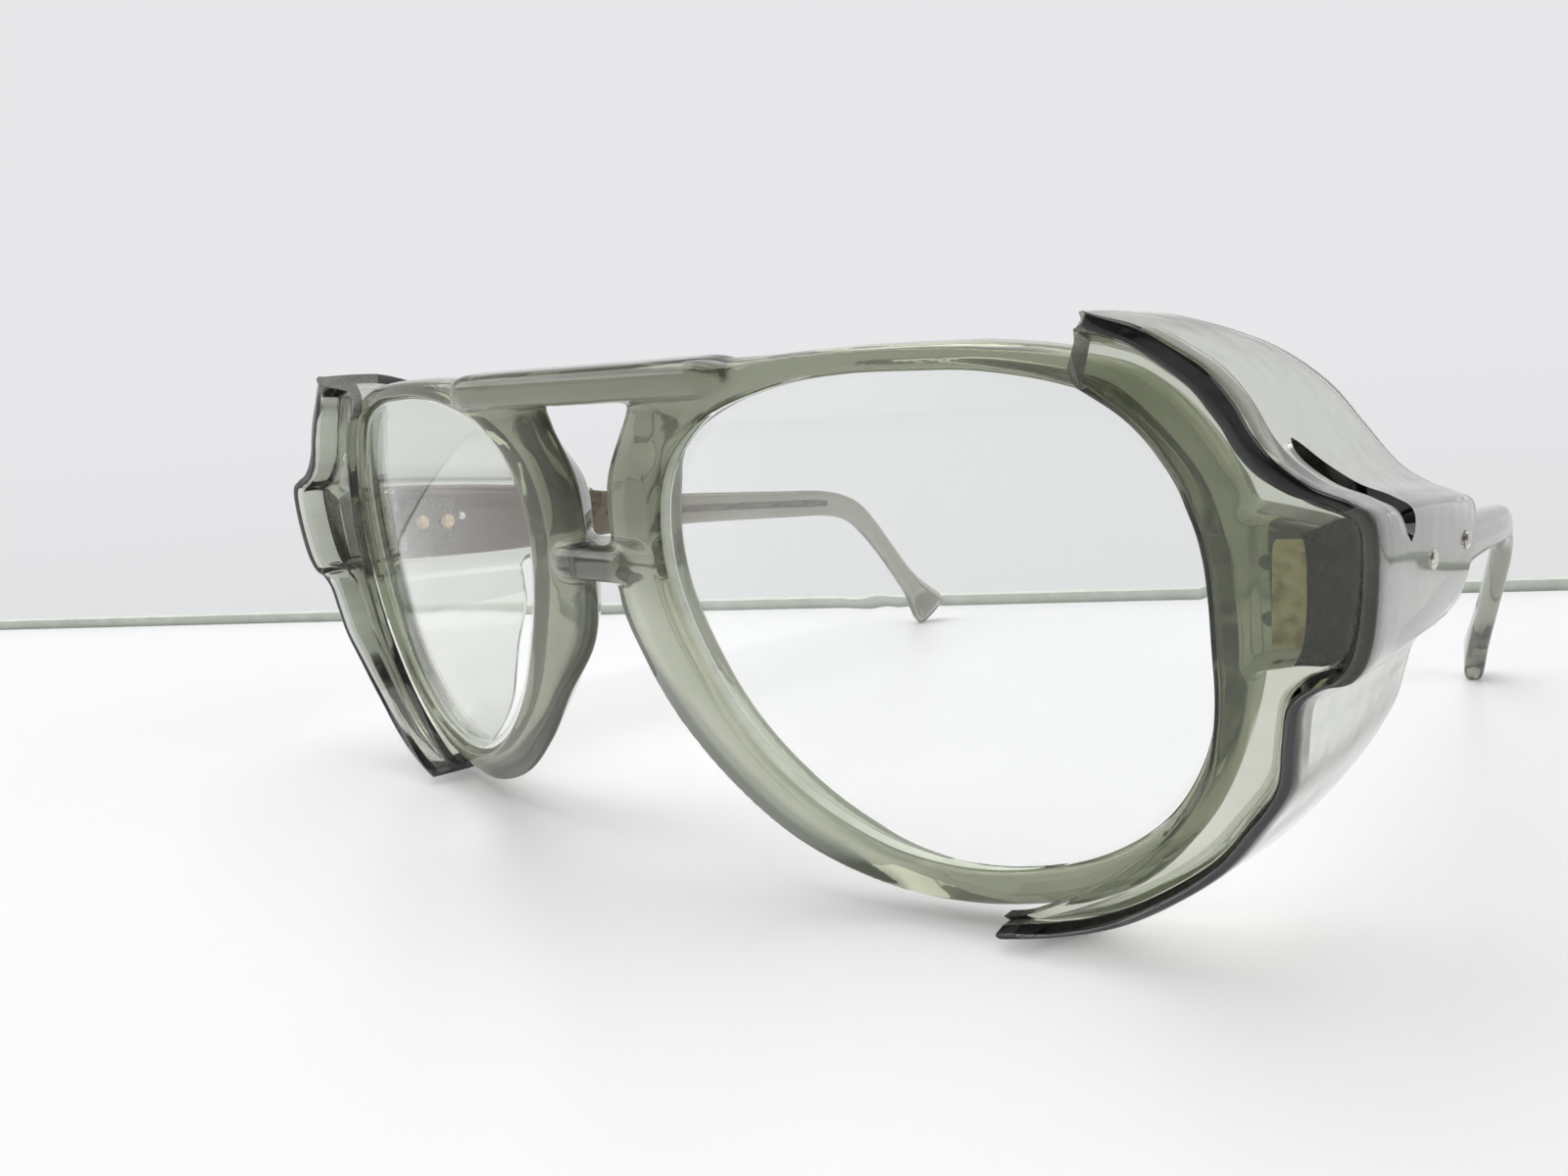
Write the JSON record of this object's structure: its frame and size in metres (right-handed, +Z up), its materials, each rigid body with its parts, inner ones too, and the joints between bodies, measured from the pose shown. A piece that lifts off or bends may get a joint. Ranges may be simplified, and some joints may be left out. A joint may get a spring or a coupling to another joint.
{
  "type": "aviator safety spectacles",
  "caption": "Aviator-form safety spectacles with a double bridge, clear lenses, clear cup side shields and folding temples, standing open.",
  "frame": {"origin": "middle of the overall bounding box in plan, on the surface that the spectacles stand on", "axes": "+X to the wearer's left and square to the plane of symmetry, +Y backwards from the front to the temple tips, +Z up from the surface; the temples are open"},
  "size_m": [0.1574, 0.1282, 0.0559],
  "materials": {
    "acetate_front": "polished translucent smoke-grey",
    "acetate_temple": "polished translucent smoke-grey",
    "lens": "clear polished",
    "clear_shield": "clear polished",
    "label": "satin, plain",
    "hinge_steel": "satin nickel",
    "screw_steel": "polished",
    "wire": "drawn",
    "rivet_steel": "polished",
    "brass": "polished"
  },
  "bodies": {
    "front": {"front_frame": "acetate_front", "lens_left": "lens", "lens_right": "lens", "label_plate": "label", "front_hinge_left": "hinge_steel", "front_hinge_right": "hinge_steel", "front_rivets_left": "brass", "front_rivets_right": "brass", "hinge_screw_left": "screw_steel", "hinge_screw_right": "screw_steel"},
    "temple_left": {"temple_left": "acetate_temple", "core_wire_left": "wire", "temple_hinge_left": "hinge_steel", "temple_rivets_left": "brass", "side_shield_left": "clear_shield", "shield_rivets_left": "rivet_steel"},
    "temple_right": {"temple_right": "acetate_temple", "core_wire_right": "wire", "temple_hinge_right": "hinge_steel", "temple_rivets_right": "brass", "side_shield_right": "clear_shield", "shield_rivets_right": "rivet_steel"}
  },
  "joints": [
    {"name": "fold_left", "type": "hinge", "parent": "front", "child": "temple_left", "pos_m": [0.0699, -0.0426, 0.0337], "axis": [0, -0.0872, 0.9962], "range_deg": [0, 80]},
    {"name": "fold_right", "type": "hinge", "parent": "front", "child": "temple_right", "pos_m": [-0.0699, -0.0426, 0.0337], "axis": [0, -0.0872, 0.9962], "range_deg": [-68, 0]}
  ]
}
